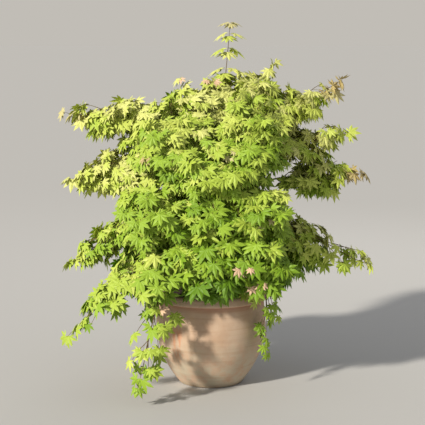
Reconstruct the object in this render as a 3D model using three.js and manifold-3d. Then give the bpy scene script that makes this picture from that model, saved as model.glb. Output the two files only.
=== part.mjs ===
// Potted japanese maple: a many-branched shrub in a bellied terracotta pot.
// Millimetres, +Z up. The origin is the centre of the pot's flat underside.
// Turns are degrees seen from above, from +X (right) towards +Y (back); the front is -90.

import * as THREE from 'three';
import { mergeVertices } from 'three/addons/utils/BufferGeometryUtils.js';
import Module from 'manifold-3d';

// Driving dimensions of the pot
const POT_HEIGHT = 390;
const POT_BASE_RADIUS = 132;
const POT_BELLY_RADIUS = 226;
const POT_NECK_RADIUS = 218;
const POT_WALL = 17;
const POT_FLOOR = 22;
const RIM_RADIUS = 236;
const RIM_BAND = 38;
const RIM_MOUTH_RADIUS = 204;
const POT_SEGMENTS = 32;

// Driving dimensions of the soil, the trunk and the boughs
const SOIL_LEVEL = 362;
const TRUNK_HEIGHT = 135;
const TRUNK_RADIUS = 21;
const TRUNK_TOP_RADIUS = 13;
const ROOT_FLARE = 15;
const ROOT_COUNT = 5;
const ROOT_RIDGE = 0.3;
const FLARE_FADE = 7;
const TRUNK_LEAN = 14;
const BOUGH_TIP_RADIUS = 3.6;
const BOUGH_LEAST_SWELL = 1.2;
const BOUGH_SWELL_PER_LENGTH = 0.0085;
const BOUGH_TAPER = 0.85;
const MAIN_BOUGH_RISE = 0.42;
const SIDE_BOUGH_ONWARD = 0.3;
const SIDE_BOUGH_OUTWARD = 0.22;
const TOUCH_GAP = 0.3;

// Driving dimensions of the twigs and the leaves
const STEM_SIDES = 4;
const STEM_STEPS = 2;
const STEM_RADIUS = 4.4;
const STEM_END_RADIUS = 3.2;
const TWIG_SIDES = 3;
const TWIG_RADIUS = 2.1;
const TWIG_END_RADIUS = 1.9;
const STEM_SHARE = 0.74;
const STEM_ONWARD = 0.2;
const TWIGS_LEAST = 2;
const TWIG_EVERY = 94;
const LEAF_LENGTH = 150;
const LEAF_THICKNESS_SHARE = 0.024;
const LEAF_STALK = 9;
const SPACE_MARGIN = 2.4;
const SPACE_OVERREACH = 6;
const SPACE_FULLNESS = 3;
const POT_CLEARANCE = 9;
const LIMB_CLEARANCE = 3.5;
const CHAIN_LINKS = 12;
const GROUND_CLEARANCE = 25;
const LEAF_SEED = 83;
const LEAF_SEED_STEP = 103;

// A leaf's outline about its middle: degrees from the tip, and share of the leaf's length
const LEAF_OUTLINE = [
  [0, 0.62], [70, 0.4], [180, 0.38], [-70, 0.4],
];
const LEAF_FOOT = 2;

// Where leaves stand on a twig: share of its length, and side (0 goes straight on)
const LEAF_PLACES = [
  [0.985, 0], [0.84, 1], [0.84, -1], [0.58, 1], [0.58, -1], [0.32, 1], [0.32, -1],
];

// The sizes that a leaf is tried at until it fits, as shares of the full length
const LEAF_TRIES = [1, 1, 0.88, 0.88, 0.76, 0.76, 0.62];

// How twig ends spread through their space, from -1 at its root to 1 at its tip: the first and
// last place along it, how far out from its middle line, and where on the stem each twig starts
const TWIG_SPREAD = { first: -0.72, last: 0.84, reach: 0.84, ring: [0.5, 0.76], turn: [-0.4, 0.4] };
const TWIG_START = { middle: 0.46, slope: 0.56, least: 0.06, most: 0.97 };

// How a leaf turns: share of the twig's own direction in a side leaf, pull to the side, droop,
// how far its face leans outwards and sideways from the sky, and the share of the droop that
// a leaf at a twig's end has
const LEAF_TURN = {
  onward: [0.2, 0.7], side: [0.7, 1], stray: [-0.2, 0.2], droop: [0.4, 1.1],
  outward: [0.4, 1.2], sideways: [-0.5, 0.5], endDroop: 0.4,
};

// One bough a row: what it leaves and how far along that, the turn, reach and height of its tip,
// then of the furthest tip of its leaves, with the width and depth of their space and their light
const BOUGHS = [
  ['leader', 'trunk', 1.0, [0, 50, 1075], [0, 73, 1436], 230, 210, 'bright'],
  ['right_upper', 'trunk', 0.78, [0, 215, 1075], [-7, 520, 1245], 210, 190, 'bright'],
  ['left_upper', 'trunk', 0.74, [180, 190, 1062], [184, 604, 1122], 210, 190, 'bright'],
  ['front_centre', 'trunk', 0.86, [-88, 105, 830], [-91, 420, 880], 370, 350, 'middle'],
  ['back_centre', 'trunk', 0.82, [90, 130, 800], [88, 450, 850], 480, 400, 'middle'],
  ['right_low', 'trunk', 0.36, [-5, 235, 650], [-5, 662, 500], 240, 190, 'middle'],
  ['left_low', 'trunk', 0.4, [-175, 229, 690], [-170, 592, 512], 230, 190, 'middle'],
  ['front_low_left', 'trunk', 0.5, [-121, 190, 545], [-123, 505, 450], 290, 260, 'middle'],
  ['front_low', 'trunk', 0.6, [-88, 130, 560], [-91, 405, 570], 320, 300, 'deep'],
  ['back_low_left', 'trunk', 0.52, [128, 180, 575], [132, 520, 470], 380, 300, 'deep'],
  ['back_low_right', 'trunk', 0.56, [50, 180, 575], [46, 520, 480], 380, 300, 'deep'],
  ['top_left', 'leader', 0.74, [233, 40, 1010], [209, 140, 1250], 300, 270, 'bright'],
  ['top_right', 'leader', 0.8, [0, 122, 1035], [-5, 250, 1306], 280, 250, 'bright'],
  ['top_back', 'leader', 0.7, [78, 84, 1005], [85, 225, 1225], 320, 260, 'bright'],
  ['front_upper_left', 'left_upper', 0.66, [-125, 146, 935], [-128, 385, 1090], 330, 280, 'bright'],
  ['front_upper_right', 'right_upper', 0.62, [-55, 150, 950], [-57, 380, 1100], 330, 280, 'bright'],
  ['back_upper_left', 'left_upper', 0.6, [127, 155, 930], [127, 430, 1085], 350, 300, 'middle'],
  ['back_upper_right', 'right_upper', 0.56, [52, 160, 930], [54, 435, 1095], 350, 300, 'middle'],
  ['right_mid', 'right_upper', 0.8, [0, 249, 965], [-6, 548, 1035], 240, 190, 'bright'],
  ['right_tip', 'right_upper', 0.5, [6, 286, 845], [0, 616, 868], 240, 170, 'middle'],
  ['left_mid', 'left_upper', 0.64, [180, 205, 900], [188, 566, 852], 240, 210, 'bright'],
  ['front_mid_left', 'front_centre', 0.5, [-130, 130, 720], [-133, 480, 750], 330, 310, 'middle'],
  ['front_mid_right', 'front_centre', 0.42, [-48, 135, 715], [-44, 455, 760], 330, 310, 'middle'],
  ['low_left', 'left_low', 0.62, [-136, 300, 590], [-144, 690, 272], 220, 170, 'bright'],
  ['pot_left', 'front_low_left', 0.86, [-122, 330, 478], [-124, 508, 74], 210, 190, 'middle'],
  ['front_low_right', 'right_low', 0.34, [-52, 180, 580], [-51, 430, 545], 270, 240, 'deep'],
  ['pot_right', 'front_low_right', 0.8, [-44, 262, 520], [-41, 305, 160], 150, 140, 'middle'],
];

// Plain finishes, one for each kind of surface
const FINISHES = {
  terracotta: { color: 0xcdb093, roughness: 0.9, metalness: 0 },
  compost: { color: 0x3a2a1c, roughness: 1, metalness: 0 },
  bark: { color: 0x6a5a3c, roughness: 0.85, metalness: 0 },
  bright: { color: 0xb3c652, roughness: 0.6, metalness: 0 },
  middle: { color: 0x96ab42, roughness: 0.6, metalness: 0 },
  deep: { color: 0x6c8526, roughness: 0.6, metalness: 0 },
};

const wasm = await Module();
wasm.setup();

const part = new THREE.Group();
const UP = new THREE.Vector3(0, 0, 1);
const RIGHT = new THREE.Vector3(1, 0, 0);
const GOLDEN_TURN = Math.PI * (3 - Math.sqrt(5));

function addPart(name, geometry, finish) {
  const mesh = new THREE.Mesh(geometry, new THREE.MeshStandardMaterial(FINISHES[finish]));
  mesh.name = name;
  part.add(mesh);
}

// Draws between 0 and 1 that follow from a seed
function seededDraws(seed) {
  let state = seed >>> 0;
  return () => {
    state = (Math.imul(state, 1664525) + 1013904223) >>> 0;
    return state / 4294967296;
  };
}

function placeAt([turn, reach, height]) {
  const angle = THREE.MathUtils.degToRad(turn);
  return new THREE.Vector3(reach * Math.cos(angle), reach * Math.sin(angle), height);
}

// A closed geometry with its shared corners merged, as a solid that can be joined and cut
function toSolid(geometry) {
  const bare = geometry.clone();
  bare.deleteAttribute('normal');
  bare.deleteAttribute('uv');
  const merged = mergeVertices(bare, 1e-4);
  return new wasm.Manifold(new wasm.Mesh({
    numProp: 3,
    vertProperties: new Float32Array(merged.attributes.position.array),
    triVerts: new Uint32Array(merged.index.array),
  }));
}

// Keeps a solid's largest outer skin, which drops loose scraps and fills sealed hollows
function toGeometry(solid) {
  const largest = solid.decompose().reduce((a, b) => (a.volume() > b.volume() ? a : b));
  const mesh = largest.getMesh();
  const geometry = new THREE.BufferGeometry();
  geometry.setAttribute('position', new THREE.BufferAttribute(mesh.vertProperties, 3));
  geometry.setIndex(new THREE.BufferAttribute(mesh.triVerts, 1));
  return geometry;
}

// A prism bent along a flat curve, with the radius that radiusAt gives at each place
function bentLimb(curve, radiusAt, sides, steps) {
  const corners = [];
  for (let k = 0; k < sides; k += 1) {
    const angle = 2 * Math.PI * k / sides;
    corners.push(new THREE.Vector2(Math.cos(angle), Math.sin(angle)));
  }
  const section = new THREE.Shape(corners);
  const geometry = new THREE.ExtrudeGeometry(section, { depth: 1, steps, bevelEnabled: false });
  const chord = curve.v2.clone().sub(curve.v0);
  const across = curve.v1.clone().sub(curve.v0).cross(chord);
  if (across.length() < 1e-3 * chord.lengthSq()) {
    across.crossVectors(Math.abs(chord.z) < 0.8 * chord.length() ? UP : RIGHT, chord);
  }
  across.normalize();
  const corner = new THREE.Vector3();
  const positions = geometry.attributes.position;
  for (let i = 0; i < positions.count; i += 1) {
    corner.fromBufferAttribute(positions, i);
    const angle = Math.atan2(corner.y, corner.x);
    const along = corner.z;
    const radius = radiusAt(along, angle);
    const outward = curve.getTangent(along).cross(across);
    corner.copy(curve.getPoint(along));
    corner.addScaledVector(across, radius * Math.cos(angle));
    corner.addScaledVector(outward, radius * Math.sin(angle));
    positions.setXYZ(i, corner.x, corner.y, corner.z);
  }
  return geometry;
}

// Pot: one turned profile, from the underside up the wall, over the rim and down inside
function potProfile() {
  const wall = new THREE.SplineCurve([
    new THREE.Vector2(POT_BASE_RADIUS + 3, 5),
    new THREE.Vector2(POT_BASE_RADIUS + 42, 62),
    new THREE.Vector2(POT_BELLY_RADIUS - 20, 128),
    new THREE.Vector2(POT_BELLY_RADIUS - 4, 195),
    new THREE.Vector2(POT_BELLY_RADIUS, 262),
    new THREE.Vector2(POT_NECK_RADIUS, POT_HEIGHT - RIM_BAND),
  ]).getPoints(8);
  const rimLow = POT_HEIGHT - RIM_BAND;
  const rim = [
    [RIM_RADIUS - 4, rimLow + 2], [RIM_RADIUS, rimLow + 10],
    [RIM_RADIUS - 1, POT_HEIGHT - 10], [RIM_RADIUS - 9, POT_HEIGHT],
    [RIM_MOUTH_RADIUS + 5, POT_HEIGHT], [RIM_MOUTH_RADIUS, POT_HEIGHT - 8],
  ].map(([radius, height]) => new THREE.Vector2(radius, height));
  return [
    new THREE.Vector2(0, 0),
    new THREE.Vector2(POT_BASE_RADIUS, 0),
    ...wall,
    ...rim,
    ...innerWall(0),
    new THREE.Vector2(0, POT_FLOOR),
  ];
}

// The inside of the pot's wall from the soil's level down to the floor, drawn in by a gap
function innerWall(gap) {
  const belly = POT_BELLY_RADIUS - POT_WALL - gap;
  return [
    new THREE.Vector2(POT_NECK_RADIUS - POT_WALL - gap, SOIL_LEVEL - 14),
    new THREE.Vector2(belly, 258),
    new THREE.Vector2(belly - 5, 180),
    new THREE.Vector2(belly - 30, 105),
    new THREE.Vector2(POT_BASE_RADIUS - 6 - gap, POT_FLOOR + gap),
  ];
}

function turned(profile) {
  return new THREE.LatheGeometry(profile, POT_SEGMENTS).rotateX(Math.PI / 2);
}

function soilProfile() {
  const wall = innerWall(TOUCH_GAP).reverse();
  return [
    new THREE.Vector2(0, POT_FLOOR + TOUCH_GAP),
    ...wall,
    new THREE.Vector2(130, SOIL_LEVEL - 5),
    new THREE.Vector2(48, SOIL_LEVEL),
    new THREE.Vector2(0, SOIL_LEVEL),
  ];
}

// Limbs: every trunk or bough is a flat curve with a taper, and knows what it grows from
const limbs = new Map();

function trunkLimb() {
  const foot = SOIL_LEVEL + TOUCH_GAP;
  const curve = new THREE.QuadraticBezierCurve3(
    new THREE.Vector3(-TRUNK_LEAN / 2, 0, foot),
    new THREE.Vector3(-TRUNK_LEAN / 2, 0, foot + TRUNK_HEIGHT / 2),
    new THREE.Vector3(TRUNK_LEAN / 2, TRUNK_LEAN / 3, foot + TRUNK_HEIGHT),
  );
  const radiusAt = (along, angle) => {
    const flare = ROOT_FLARE * Math.exp(-FLARE_FADE * along);
    const roots = 1 + ROOT_RIDGE * Math.cos(ROOT_COUNT * angle);
    return THREE.MathUtils.lerp(TRUNK_RADIUS, TRUNK_TOP_RADIUS, along) + flare * roots;
  };
  return { name: 'trunk', curve, radiusAt, sides: 15, steps: 6 };
}

// A main bough leaves the trunk steeply and arches out; the leader goes straight on from its
// top; a side bough first follows the bough it leaves
function boughBend(parent, parentName, leaves, start, end) {
  const rise = end.clone().sub(start);
  const onward = parent.curve.getTangent(leaves);
  if (leaves === 1) {
    return start.clone().addScaledVector(onward, rise.length() / 2);
  }
  if (parentName === 'trunk') {
    return start.clone().lerp(end, 0.5).setZ(start.z + MAIN_BOUGH_RISE * rise.z);
  }
  const bend = start.clone().addScaledVector(onward, rise.length() * SIDE_BOUGH_ONWARD);
  return bend.addScaledVector(rise, SIDE_BOUGH_OUTWARD);
}

function boughLimb(name, parentName, leaves, tip) {
  const parent = limbs.get(parentName);
  const start = parent.curve.getPoint(leaves);
  if (leaves === 1) {
    start.addScaledVector(parent.curve.getTangent(1), TOUCH_GAP);
  }
  const end = placeAt(tip);
  const bend = boughBend(parent, parentName, leaves, start, end);
  const curve = new THREE.QuadraticBezierCurve3(start, bend, end);
  const swell = BOUGH_LEAST_SWELL + BOUGH_SWELL_PER_LENGTH * curve.getLength();
  const thickest = parent.radiusAt(leaves, 0) * BOUGH_TAPER;
  const foot = Math.min(BOUGH_TIP_RADIUS + swell, thickest);
  const radiusAt = (along) => THREE.MathUtils.lerp(foot, BOUGH_TIP_RADIUS, along ** BOUGH_TAPER);
  return { name: `bough_${name}`, curve, radiusAt, sides: 6, steps: 4 };
}

function limbSolid(limb, extra) {
  const radiusAt = (along, angle) => limb.radiusAt(along, angle) + extra;
  return toSolid(bentLimb(limb.curve, radiusAt, limb.sides, limb.steps));
}

// Where a bough leaves another limb, its foot is cut to lie just clear of every earlier limb
function buildLimbs() {
  const earlier = [];
  for (const limb of limbs.values()) {
    let solid = limbSolid(limb, 0);
    for (const other of earlier) {
      solid = solid.subtract(other);
    }
    earlier.push(limbSolid(limb, TOUCH_GAP));
    addPart(limb.name, toGeometry(solid), 'bark');
  }
}

// Spaces: each mass of leaves has a full oval space from its bough's tip to its own furthest tip,
// cut flat half-way to every neighbour, so that no two spaces meet
function leafSpace(boughTip, furthest, width, depth) {
  const root = placeAt(boughTip);
  const tip = placeAt(furthest);
  const axis = tip.clone().sub(root).normalize();
  const across = new THREE.Vector3().crossVectors(axis, UP);
  if (across.length() < 0.2) {
    across.set(0, 1, 0).cross(axis);
  }
  across.normalize();
  const over = new THREE.Vector3().crossVectors(across, axis);
  const half = tip.distanceTo(root) / 2 + SPACE_OVERREACH;
  const centre = root.clone().lerp(tip, 0.5);
  const sizes = [half, width / 2, depth / 2];
  return { root, axis, across, over, centre, sizes, walls: [] };
}

function spaceExtent(space, direction) {
  const [half, width, depth] = space.sizes;
  return Math.hypot(
    half * space.axis.dot(direction),
    width * space.across.dot(direction),
    depth * space.over.dot(direction),
  );
}

function setWalls(spaces) {
  for (const space of spaces) {
    for (const other of spaces) {
      if (other !== space) {
        const normal = other.centre.clone().sub(space.centre);
        const distance = normal.length();
        normal.normalize();
        const own = spaceExtent(space, normal);
        const limit = distance * own / (own + spaceExtent(other, normal));
        space.walls.push({ normal, limit: limit - SPACE_MARGIN });
      }
    }
  }
}

function insideSpace(space, point) {
  const offset = point.clone().sub(space.centre);
  const [half, width, depth] = space.sizes;
  const shares = [
    offset.dot(space.axis) / half,
    offset.dot(space.across) / width,
    offset.dot(space.over) / depth,
  ];
  const reach = shares.reduce((sum, share) => sum + Math.abs(share) ** SPACE_FULLNESS, 0);
  if (reach > 1 || point.z < GROUND_CLEARANCE) {
    return false;
  }
  const overPot = Math.hypot(point.x, point.y) < RIM_RADIUS + POT_CLEARANCE;
  if (overPot && point.z < POT_HEIGHT + POT_CLEARANCE) {
    return false;
  }
  return space.walls.every(({ normal, limit }) => offset.dot(normal) < limit);
}

// The shortest way between two straight stretches
function stretchDistance(a, b, c, d) {
  const u = b.clone().sub(a);
  const v = d.clone().sub(c);
  const w = a.clone().sub(c);
  const uu = u.dot(u);
  const uv = u.dot(v);
  const vv = v.dot(v);
  const uw = u.dot(w);
  const vw = v.dot(w);
  const clamp = (value) => Math.min(1, Math.max(0, value));
  const spread = uu * vv - uv * uv;
  let s = spread > 1e-9 ? clamp((uv * vw - vv * uw) / spread) : 0;
  const t = clamp((uv * s + vw) / vv);
  s = clamp((uv * t - uw) / uu);
  return w.addScaledVector(u, s).addScaledVector(v, -t).length();
}

// A limb or stem as straight links, each with its radius
function chainOf(pointAt, radiusAt) {
  const chain = [];
  for (let i = 0; i <= CHAIN_LINKS; i += 1) {
    const along = i / CHAIN_LINKS;
    chain.push({ point: pointAt(along), radius: radiusAt(along, 0) });
  }
  return chain;
}

// Whether the stretches keep clear of every limb and of the stems of all other masses
function clearOfWood(space, stretches, thickness) {
  const stems = spaces.filter((other) => other !== space);
  for (const { chain } of [...limbs.values(), ...stems]) {
    for (let i = 0; i < CHAIN_LINKS; i += 1) {
      const keep = chain[i].radius + thickness + LIMB_CLEARANCE;
      for (const [from, to] of stretches) {
        if (stretchDistance(from, to, chain[i].point, chain[i + 1].point) < keep) {
          return false;
        }
      }
    }
  }
  return true;
}

// Leaf: a thin blade with four corners, thickest at its middle, with its foot sunk through the twig
function leafFrame(foot, heading, facing, length) {
  const forward = heading.clone().normalize();
  const side = new THREE.Vector3().crossVectors(facing, forward).normalize();
  const normal = new THREE.Vector3().crossVectors(forward, side);
  const middle = foot.clone().addScaledVector(forward, length * LEAF_OUTLINE[LEAF_FOOT][1]);
  const outline = LEAF_OUTLINE.map(([turn, share]) => {
    const angle = THREE.MathUtils.degToRad(turn);
    return middle.clone()
      .addScaledVector(forward, length * share * Math.cos(angle))
      .addScaledVector(side, length * share * Math.sin(angle));
  });
  return { middle, outline, normal, length };
}

// The leaf as a solid, with its foot drawn back from the twig by a stalk's length
function leafSolid({ middle, outline, normal, length }, stalk) {
  const half = length * LEAF_THICKNESS_SHARE / 2;
  const rim = outline.map((corner) => corner.clone());
  const foot = rim[LEAF_FOOT];
  foot.addScaledVector(middle.clone().sub(foot).normalize(), stalk);
  const corners = [
    ...rim,
    middle.clone().addScaledVector(normal, half),
    middle.clone().addScaledVector(normal, -half),
  ];
  const top = outline.length;
  const triangles = [];
  for (let i = 0; i < outline.length; i += 1) {
    const next = (i + 1) % outline.length;
    triangles.push(i, next, top, next, i, top + 1);
  }
  return new wasm.Manifold(new wasm.Mesh({
    numProp: 3,
    vertProperties: new Float32Array(corners.flatMap((corner) => corner.toArray())),
    triVerts: new Uint32Array(triangles),
  }));
}

function leafFits(space, leaf) {
  const stretches = leaf.outline.map((corner) => [leaf.middle, corner]);
  leaf.outline.forEach((corner, i) => {
    stretches.push([corner, leaf.outline[(i + 1) % leaf.outline.length]]);
  });
  const halfway = stretches.map(([from, to]) => from.clone().lerp(to, 0.5));
  return [...leaf.outline, ...halfway].every((point) => insideSpace(space, point))
    && clearOfWood(space, stretches, leaf.length * LEAF_THICKNESS_SHARE / 2);
}

// Growth rule of a mass: one stem from the bough's tip, twigs from the stem to places spread
// evenly through the space, and leaves in pairs along each twig with one at its end
function growStem(space, bough) {
  const out = bough.curve.getTangent(1);
  const foot = space.root.clone().addScaledVector(out, TOUCH_GAP);
  const length = space.sizes[0] * STEM_SHARE * 2;
  return new THREE.QuadraticBezierCurve3(
    foot,
    foot.clone().addScaledVector(out, length * STEM_ONWARD),
    space.root.clone().addScaledVector(space.axis, length),
  );
}

// A place on a stem or twig, in the middle of the straight steps that it is built in
function footOn(twig, share) {
  const step = Math.min(Math.floor(share * STEM_STEPS), STEM_STEPS - 1);
  const from = twig.getPoint(step / STEM_STEPS);
  return from.lerp(twig.getPoint((step + 1) / STEM_STEPS), share * STEM_STEPS - step);
}

function stemRadius(along) {
  return THREE.MathUtils.lerp(STEM_RADIUS, STEM_END_RADIUS, along);
}

function growTwig(space, order, twigCount, between) {
  const [half, width, depth] = space.sizes;
  const place = (order + 0.5) / twigCount;
  const along = THREE.MathUtils.lerp(TWIG_SPREAD.first, TWIG_SPREAD.last, place);
  const ring = Math.sqrt(1 - along * along) * between(TWIG_SPREAD.ring);
  const turn = order * GOLDEN_TURN + between(TWIG_SPREAD.turn);
  const end = space.centre.clone()
    .addScaledVector(space.axis, half * along * TWIG_SPREAD.reach)
    .addScaledVector(space.across, width * ring * Math.cos(turn))
    .addScaledVector(space.over, depth * ring * Math.sin(turn));
  const { middle, slope, least, most } = TWIG_START;
  const start = footOn(space.stem, THREE.MathUtils.clamp(middle + slope * along, least, most));
  return new THREE.QuadraticBezierCurve3(start, start.clone().lerp(end, 0.5), end);
}

function twigFits(space, twig) {
  const points = twig.getPoints(4);
  return points.slice(1).every((point) => insideSpace(space, point))
    && clearOfWood(space, [[points[1], points[4]]], TWIG_RADIUS);
}

// A leaf heads on along its twig or out to one side, hangs over and faces outwards and up
function leafAim(twig, share, side, between) {
  const tangent = twig.getTangent(share);
  const sideways = new THREE.Vector3().crossVectors(tangent, UP).normalize();
  const outward = twig.getPoint(share).setZ(0).normalize();
  const heading = tangent.multiplyScalar(side === 0 ? 1 : between(LEAF_TURN.onward));
  heading.addScaledVector(sideways, side * between(LEAF_TURN.side) + between(LEAF_TURN.stray));
  const droop = between(LEAF_TURN.droop) * (side === 0 ? LEAF_TURN.endDroop : 1);
  heading.addScaledVector(UP, -droop);
  const facing = outward.multiplyScalar(between(LEAF_TURN.outward));
  facing.addScaledVector(sideways, between(LEAF_TURN.sideways));
  return { heading, facing: facing.add(UP) };
}

function growMass(space, seed) {
  const draw = seededDraws(seed);
  const between = ([low, high]) => low + (high - low) * draw();
  const twigRadius = (along) => THREE.MathUtils.lerp(TWIG_RADIUS, TWIG_END_RADIUS, along);
  let solid = toSolid(bentLimb(space.stem, stemRadius, STEM_SIDES, STEM_STEPS));
  const twigs = [space.stem];
  const twigCount = Math.round(TWIGS_LEAST + space.sizes[0] / TWIG_EVERY);
  for (let order = 0; order < twigCount; order += 1) {
    const twig = growTwig(space, order, twigCount, between);
    if (twigFits(space, twig)) {
      solid = solid.add(toSolid(bentLimb(twig, twigRadius, TWIG_SIDES, 1)));
      twigs.push(twig);
    }
  }
  for (const twig of twigs) {
    for (const [share, side] of LEAF_PLACES) {
      for (const size of LEAF_TRIES) {
        const { heading, facing } = leafAim(twig, share, side, between);
        const leaf = leafFrame(footOn(twig, share), heading, facing, LEAF_LENGTH * size);
        if (leafFits(space, leaf) && leafSolid(leaf, LEAF_STALK).intersect(solid).isEmpty()) {
          solid = solid.add(leafSolid(leaf, 0));
          break;
        }
      }
    }
  }
  return toGeometry(solid);
}

addPart('pot', turned(potProfile()), 'terracotta');
addPart('soil', turned(soilProfile()), 'compost');

limbs.set('trunk', trunkLimb());
for (const [name, parent, leaves, tip] of BOUGHS) {
  limbs.set(name, boughLimb(name, parent, leaves, tip));
}
for (const limb of limbs.values()) {
  limb.chain = chainOf((along) => limb.curve.getPoint(along), limb.radiusAt);
}
buildLimbs();

const spaces = BOUGHS.map(([, , , tip, furthest, width, depth]) => (
  leafSpace(tip, furthest, width, depth)
));
setWalls(spaces);
spaces.forEach((space, i) => {
  space.stem = growStem(space, limbs.get(BOUGHS[i][0]));
  space.chain = chainOf((along) => footOn(space.stem, along), stemRadius);
});
BOUGHS.forEach(([name, , , , , , , light], i) => {
  const seed = LEAF_SEED + LEAF_SEED_STEP * i;
  addPart(`leaves_${name}`, growMass(spaces[i], seed), light);
});

export default part;
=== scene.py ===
import math

import bmesh
import bpy
import numpy as np
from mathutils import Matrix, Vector, noise


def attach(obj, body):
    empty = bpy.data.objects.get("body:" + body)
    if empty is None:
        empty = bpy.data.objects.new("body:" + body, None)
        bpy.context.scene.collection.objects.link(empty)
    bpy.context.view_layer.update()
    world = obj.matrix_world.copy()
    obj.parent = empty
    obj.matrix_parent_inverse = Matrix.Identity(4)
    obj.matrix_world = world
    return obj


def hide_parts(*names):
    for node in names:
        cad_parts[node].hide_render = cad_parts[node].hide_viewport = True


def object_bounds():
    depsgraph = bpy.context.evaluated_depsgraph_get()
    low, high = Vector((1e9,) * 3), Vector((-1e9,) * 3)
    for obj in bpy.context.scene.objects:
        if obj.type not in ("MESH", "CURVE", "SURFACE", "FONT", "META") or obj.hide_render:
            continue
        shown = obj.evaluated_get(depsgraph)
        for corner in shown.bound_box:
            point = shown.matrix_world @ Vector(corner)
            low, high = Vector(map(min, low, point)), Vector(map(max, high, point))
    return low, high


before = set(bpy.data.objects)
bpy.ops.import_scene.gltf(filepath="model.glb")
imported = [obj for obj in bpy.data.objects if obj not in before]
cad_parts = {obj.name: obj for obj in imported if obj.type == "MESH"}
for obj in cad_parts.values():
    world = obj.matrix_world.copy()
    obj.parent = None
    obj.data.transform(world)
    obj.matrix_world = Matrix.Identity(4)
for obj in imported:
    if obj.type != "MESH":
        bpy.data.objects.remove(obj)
cad_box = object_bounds()

# Pot, in metres: its outline is turned, from the foot up to the rim and down inside to the floor
POT_HEIGHT = 0.390
POT_FOOT_POINTS = [(0, 0), (0.12, 0), (0.128, 0.0004), (0.1325, 0.0022)]
POT_WALL_POINTS = [
    (0.135, 0.005), (0.174, 0.062), (0.206, 0.128),
    (0.222, 0.195), (0.226, 0.262), (0.218, 0.352),
]
POT_INSIDE_POINTS = [(0.2085, 0.26), (0.204, 0.18), (0.18, 0.105), (0.126, 0.022), (0, 0.022)]
POT_MOUTH_RADIUS = 0.204
POT_ROWS = 70
POT_SEGMENTS = 144
RIM_RADIUS = 0.236
RIM_LOW = 0.352
RIM_ROWS = 40

# How uneven the pot is: ripples left by turning, its waver and the pits in its skin
RIPPLE_HEIGHT = 0.0005
WAVER_HEIGHT = 0.0007
PIT_HEIGHT = 0.00025

# Marks on the clay, each as the two places in metres that it comes or goes between: the bloom, a band
# of painted shade under the rim, darker patches on the rim, the dirt on the foot, and the rusty streaks
# at the front left
BLOOM_TOP = (0.03, 0.27)
SHADE_BAND_BOTTOM = (0.322, 0.35)
SHADE_BAND_TOP = (0.351, 0.356)
DARK_RIM_BOTTOM = (0.35, 0.356)
DIRT_TOP = (0.0, 0.028)
RUST_FRONT = (-0.16, -0.1)
RUST_LEFT = (-0.185, -0.15)
RUST_RIGHT = (-0.13, -0.095)
RUST_BOTTOM = (0.09, 0.15)
RUST_TOP = (0.24, 0.31)
CLAY = {
    "plain": (194, 163, 136), "pale": (206, 178, 152), "warm": (190, 156, 128),
    "bloom": (190, 179, 156), "ring": (172, 132, 100), "rim_shade": (172, 116, 88),
    "dark_rim": (176, 152, 124), "rust": (206, 124, 80), "dirt": (142, 122, 96), "grain": (168, 130, 98),
}

# Soil: a low mound with lumps and crumbs
SOIL_LEVEL = 0.362
SOIL_RADIUS = 0.1995
SOIL_DEPTH = 0.05
SOIL_SEGMENTS = 96
SOIL_RINGS = 26
SOIL_RING_WIDTH = 0.0072
SOIL_TAPER = 0.004
SOIL_SETTLING = 0.002
SOIL_TOP_LAYER = 0.01
SOIL_CENTRE_RISE = 0.001
SOIL_EDGE_FALL = 0.007
SOIL_LUMP_HEIGHT = 0.003
SOIL_CRUMB_HEIGHT = 0.0016

# Trunk and boughs, with the sides and steps of their meshes
TOUCH_GAP = 0.0003
TRUNK_HEIGHT = 0.135
TRUNK_RADIUS = 0.021
TRUNK_TOP_RADIUS = 0.013
TRUNK_MESH = (48, 40)
ROOT_FLARE = 0.015
ROOT_COUNT = 5
ROOT_RIDGE = 0.3
FLARE_FADE = 7
TRUNK_LEAN = 0.014
BOUGH_TIP_RADIUS = 0.0034
BOUGH_LEAST_SWELL = 0.0012
BOUGH_SWELL_PER_LENGTH = 0.0085
BOUGH_TAPER = 0.85
BOUGH_MESH = (14, 34)
MAIN_BOUGH_RISE = 0.42
SIDE_BOUGH_ONWARD = 0.3
SIDE_BOUGH_OUTWARD = 0.22
STRAIGHT = 0.001
BARK_RIDGE = 0.07
BARK_KNOT = 0.6

# The limits that twigs and leaves keep to
SPACE_OVERREACH = 0.006
SPACE_FULLNESS = 3
POT_CLEARANCE = 0.006
GROUND_CLEARANCE = 0.012
BOX_SLACK = 0.024

# Stems and twigs: shares of the space's length, radii at foot and tip, and the sides and steps of
# their meshes. A twig ends at a share along the space from -1 to 1, on a ring round its axis, and
# leaves the stem a little further back
STEM_SHARE = 0.74
STEM_ONWARD = 0.2
STEM_RADIUS = (0.0033, 0.0016)
STEM_MESH = (6, 8)
TIP_SHARE = 0.96
TIP_MESH = (4, 4)
TWIGS_LEAST = 2
TWIG_EVERY = 0.094
TWIG_RADIUS = (0.0018, 0.0009)
TWIG_MESH = (4, 5)
TWIG_ARCH = 0.1
TWIG_SPAN = (-0.72, 0.84)
TWIG_REACH = 0.84
TWIG_RING = (0.5, 0.76)
TWIG_STRAY = (-0.4, 0.4)
TWIG_FOOT_MIDDLE = 0.46
TWIG_FOOT_MOVE = 0.56
TWIG_FOOT_RANGE = (0.06, 0.97)
FINE_TWIGS = 5
FINE_RING = (0.35, 1.15)
FINE_TURN = 1.3
GOLDEN_TURN = math.pi * (3 - math.sqrt(5))

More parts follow.
